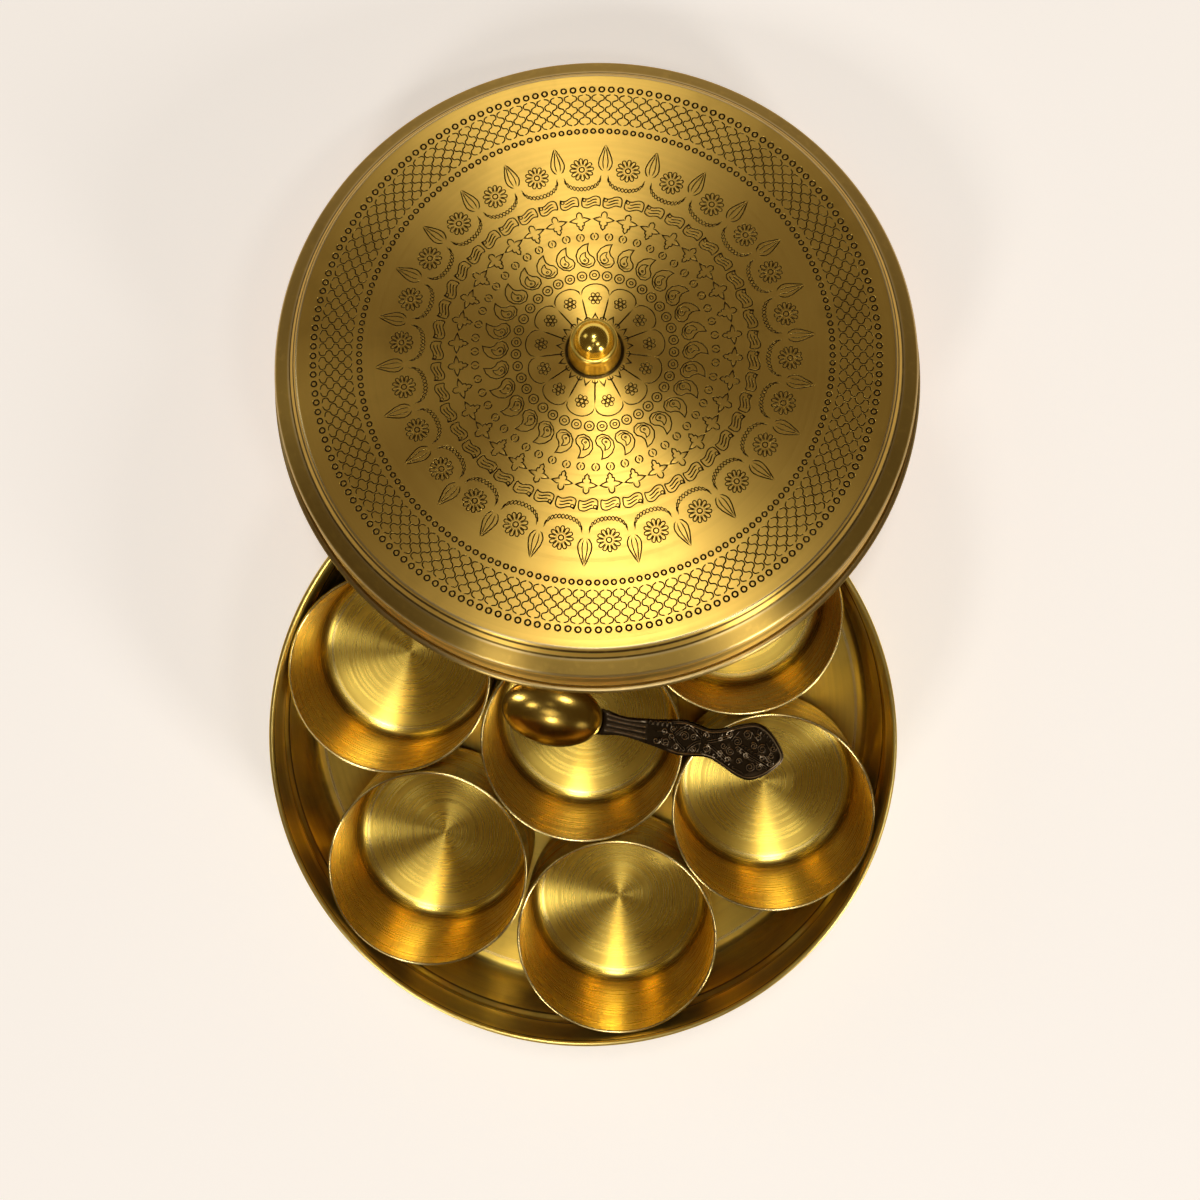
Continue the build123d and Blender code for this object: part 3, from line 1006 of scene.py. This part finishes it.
class SPICEBOX_OT_knob(bpy.types.Operator):
    """Turns the knob's post and ball, and finishes its screw and washer"""

    bl_idname = "spicebox.knob"
    bl_label = "Knob"

    def execute(self, context):
        brass = polished_brass("knob_brass", LID_FRAME, 0.17, 0.2)
        satin = turned_brass("post_brass", LID_FRAME, 0.3, 0.5, 0.6, POST_DIRT_AND_SHADE)
        top = 24.9
        post = bmesh.new()
        corners = [
            (0, top), (9.6, top), (8.05, top + 6.0), (8.0, top + 7.2), (8.4, top + 7.6), (8.4, top + 10.2),
            (6.9, top + 10.2), (6.4, top + 7.6), (0, top + 3.35),
        ]
        bends = [0.3, 3.0, 0, 0.3, 0.9, 0.3, 0]
        profile(post, [(r * MM, h * MM) for r, h in corners], [b * MM for b in bends])
        turn(post, KNOB_STEPS)
        post.transform(LID_FRAME)
        finished(post, "knob_post_turned", "lid", ["knob_post"], satin)

        ball = bmesh.new()
        bmesh.ops.create_uvsphere(
            ball, u_segments=KNOB_STEPS, v_segments=KNOB_STEPS // 2, radius=6.85 * MM,
            matrix=LID_FRAME @ Matrix.Translation((0, 0, (top + 10.2) * MM)),
        )
        finished(ball, "knob_ball_polished", "lid", ["knob_ball"], brass)

        plain = turned_brass("plain_brass", LID_FRAME, 0.3, 0.3)
        for node in ("knob_washer", "knob_screw"):
            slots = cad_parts[node].data.materials
            slots.clear()
            slots.append(plain)
        return {"FINISHED"}


class SPICEBOX_OT_spoon(bpy.types.Operator):
    """Shapes the spoon's bowl and its engraved handle"""

    bl_idname = "spicebox.spoon"
    bl_label = "Spoon"

    def execute(self, context):
        self.bowl()
        self.handle()
        return {"FINISHED"}

    def bowl(self):
        half_length, half_width, depth, sheet = 18.6, 12.6, 7.6, 0.8
        arc = (half_width**2 + depth**2) / (2 * depth)
        rise = arc - depth
        reach = half_length / sqrt(1 - (rise / arc) ** 2)
        rim = 55.3
        centre = Matrix.Translation(Vector((-18.3, 0, rim + rise)) * MM)
        stretch = Matrix.Diagonal((reach * MM, arc * MM, arc * MM, 1.0)) @ Matrix.Rotation(pi / 2, 4, "Y")
        bm = bmesh.new()
        bmesh.ops.create_uvsphere(
            bm, u_segments=BOWL_STEPS, v_segments=BOWL_STEPS, radius=1.0, matrix=centre @ stretch
        )
        bmesh.ops.bisect_plane(
            bm, geom=bm.verts[:] + bm.edges[:] + bm.faces[:], dist=1e-9,
            plane_co=(0, 0, rim * MM), plane_no=(0, 0, 1), clear_outer=True,
        )
        bmesh.ops.recalc_face_normals(bm, faces=bm.faces[:])
        lowest = min(bm.faces, key=lambda f: f.calc_center_median().z)
        if lowest.normal.z > 0:
            bmesh.ops.reverse_faces(bm, faces=bm.faces[:])
        bmesh.ops.solidify(bm, geom=bm.faces[:], thickness=sheet * MM)
        bmesh.ops.recalc_face_normals(bm, faces=bm.faces[:])
        bm.transform(SPOON_FRAME)
        brass = polished_brass("spoon_brass", SPOON_FRAME, 0.2, 0.05, 1.0)
        finished(bm, "spoon_bowl_polished", "spoon", ["spoon_bowl"], brass)

    def handle(self):
        low, top, rise, inset, line_width = 53.35, 55.27, 0.46, 0.45, 0.88
        outline = handle_outline()
        border = bent(outline, True, inset)
        edge = KDTree(len(outline))
        for i, (x, y) in enumerate(outline):
            edge.insert((x, y, 0.0), i)
        edge.balance()

        def height(x, y):
            return top

        def inside(middle):
            x, y = middle
            crossings = 0
            for (ax, ay), (bx, by) in zip(border, border[1:] + border[:1]):
                if (ay > y) != (by > y) and x < ax + (bx - ax) * (y - ay) / (by - ay):
                    crossings += 1
            return crossings % 2 == 1

        relief = Engraving(line_width)
        relief.border(border)
        raised = bent(smooth(HANDLE_SIDE + [(x, -y) for x, y in reversed(HANDLE_SIDE[:-1])], 3), False, 1.0)
        relief.cut([p for p in raised if p[0] > 24.0], False, 0.9)
        for points, share in relief_lines():
            relief.cut(points, False, share)
        bm = relief.mesh(inside, height, -rise * MM, "rubbed")
        layer = bm.verts.layers.float["rubbed"]
        rub_from, rub_over, rub_in, rub_side = 52.0, 14.0, 1.7, -5.0
        for v in bm.verts:
            x, y = v.co.x / MM, v.co.y / MM
            gap = edge.find((x, y, 0.0))[2]
            tip = max(0.0, (x - rub_from) / rub_over) * max(0.0, 1 - gap / rub_in) if y > rub_side else 0.0
            v[layer] = min(1.0, v[layer] * 0.5 + v[layer] * tip)

        rim = [e for e in bm.edges if e.is_boundary]
        edge_steps = ((0.12, 0.3, 0.6), (0.3, 0.15, 0.5), (top - low - 0.42, 0.0, 0.0))
        for drop, grow, rub in edge_steps:
            made = bmesh.ops.extrude_edge_only(bm, edges=rim)["geom"]
            verts = [v for v in made if isinstance(v, bmesh.types.BMVert)]
            rim = [e for e in made if isinstance(e, bmesh.types.BMEdge)]
            moves = {}
            for v in verts:
                ends = [e.other_vert(v).co - v.co for e in v.link_edges if e in rim]
                along = (ends[0].normalized() - ends[1].normalized()).normalized()
                out = Vector((along.y, -along.x, 0.0))
                nearest = Vector(outline[edge.find(v.co / MM)[1]]).to_3d() * MM
                if out.dot(Vector((nearest.x, nearest.y, v.co.z)) - v.co) < 0:
                    out = -out
                moves[v] = out * grow * MM + Vector((0, 0, -drop * MM))
            for v, move in moves.items():
                v.co += move
                x = v.co.x / MM
                v[layer] = rub * max(0.0, (x - 55.0) / 13.0)
        for v in verts:
            if v.co.x < 0.9 * MM:
                v.co.x -= 1.8 * MM * max(0.0, 1 - abs(v.co.y) / (5.6 * MM))
        bmesh.ops.edgeloop_fill(bm, edges=rim)
        bmesh.ops.recalc_face_normals(bm, faces=bm.faces[:])
        bm.transform(SPOON_FRAME)
        brass = blackened_brass("handle_brass", SPOON_FRAME)
        finished(bm, "spoon_handle_relief", "spoon", ["spoon_handle"], brass, radians(50))


def softbox(name, around, down, width, height, strength):
    """A lamp seen from the box at an angle around from +X and down from straight overhead."""
    direction = Vector((sin(down) * cos(around), sin(down) * sin(around), cos(down)))
    light = bpy.data.lights.new(name, "AREA")
    light.shape = "RECTANGLE"
    light.size, light.size_y = width, height
    light.energy = strength * pi * width * height
    lamp = bpy.data.objects.new(name, light)
    bpy.context.scene.collection.objects.link(lamp)
    lamp.location = LAMP_TARGET + direction * LAMP_DISTANCE
    lamp.rotation_euler = (-direction).to_track_quat("-Z", "Y").to_euler()


class SPICEBOX_OT_stage(bpy.types.Operator):
    """Sets the floor, the lamps and the camera"""

    bl_idname = "spicebox.stage"
    bl_label = "Stage"

    def execute(self, context):
        scene = context.scene
        finish = scene.spice_box_finish
        bm = bmesh.new()
        bmesh.ops.create_grid(bm, x_segments=1, y_segments=1, size=FLOOR_SIZE)
        mesh = bpy.data.meshes.new("floor")
        bm.to_mesh(mesh)
        bm.free()
        floor = bpy.data.objects.new("floor", mesh)
        scene.collection.objects.link(floor)

        material = bpy.data.materials.new("floor_card")
        n = Nodes(material)
        matt = n.add("BsdfDiffuse")
        matt.inputs["Color"].default_value = rgba(finish.floor)
        glow = n.add("Emission")
        glow.inputs["Color"].default_value = rgba(finish.floor)
        path = n.add("LightPath")
        seen = n.math("ADD", path.outputs["Is Camera Ray"], path.outputs["Is Glossy Ray"])
        seen = n.math("ADD", seen, path.outputs["Is Transmission Ray"], clamp=True)
        n.plug(glow.inputs["Strength"], n.math("MULTIPLY", seen, FLOOR_GLOW))
        both = n.add("AddShader")
        n.plug(both.inputs[0], matt.outputs[0])
        n.plug(both.inputs[1], glow.outputs[0])
        n.plug(n.add("OutputMaterial").inputs[0], both.outputs[0])
        mesh.materials.append(material)

        world = bpy.data.worlds.new("studio")
        scene.world = world
        world.use_nodes = True
        background = world.node_tree.nodes["Background"]
        background.inputs[0].default_value = rgba(WORLD_COLOUR)
        background.inputs[1].default_value = WORLD_STRENGTH

        for name, around, down, width, height, strength in LAMPS:
            softbox(name, radians(around), radians(down), width, height, strength)

        lens = bpy.data.cameras.new("camera")
        lens.sensor_width = SENSOR_WIDTH
        lens.lens = SENSOR_WIDTH * CAMERA_REACH / PICTURE_WIDTH
        camera = bpy.data.objects.new("camera", lens)
        scene.collection.objects.link(camera)
        back = CAMERA_RIGHT.cross(CAMERA_UP)
        turn_to = Matrix((CAMERA_RIGHT, CAMERA_UP, back)).transposed().to_4x4()
        camera.matrix_world = Matrix.Translation(CAMERA_AT) @ turn_to
        lens.clip_start = 0.01
        scene.camera = camera
        scene.view_settings.view_transform = "Standard"
        return {"FINISHED"}


class SPICEBOX_PT_panel(bpy.types.Panel):
    """Lists the pieces of the spice box"""

    bl_idname = "SPICEBOX_PT_panel"
    bl_label = "Spice Box"
    bl_space_type = "VIEW_3D"
    bl_region_type = "UI"
    bl_category = "Spice Box"

    def draw(self, context):
        layout = self.layout
        for group in (context.scene.spice_box_sizes, context.scene.spice_box_finish):
            column = layout.column(align=True)
            for name in group.__annotations__:
                column.prop(group, name)
        for operator in MAKERS:
            layout.operator(operator.bl_idname)


MAKERS = (
    SPICEBOX_OT_stage, SPICEBOX_OT_pan, SPICEBOX_OT_cups,
    SPICEBOX_OT_lid, SPICEBOX_OT_knob, SPICEBOX_OT_spoon,
)
CLASSES = (SpiceBoxSizes, SpiceBoxFinish, *MAKERS, SPICEBOX_PT_panel)


def register():
    for cls in CLASSES:
        bpy.utils.register_class(cls)
    bpy.types.Scene.spice_box_sizes = PointerProperty(type=SpiceBoxSizes)
    bpy.types.Scene.spice_box_finish = PointerProperty(type=SpiceBoxFinish)


def unregister():
    del bpy.types.Scene.spice_box_finish
    del bpy.types.Scene.spice_box_sizes
    for cls in reversed(CLASSES):
        bpy.utils.unregister_class(cls)


def main():
    register()
    for name in ("stage", "pan", "cups", "lid", "knob", "spoon"):
        getattr(bpy.ops.spicebox, name)()


if __name__ == "__main__":
    main()
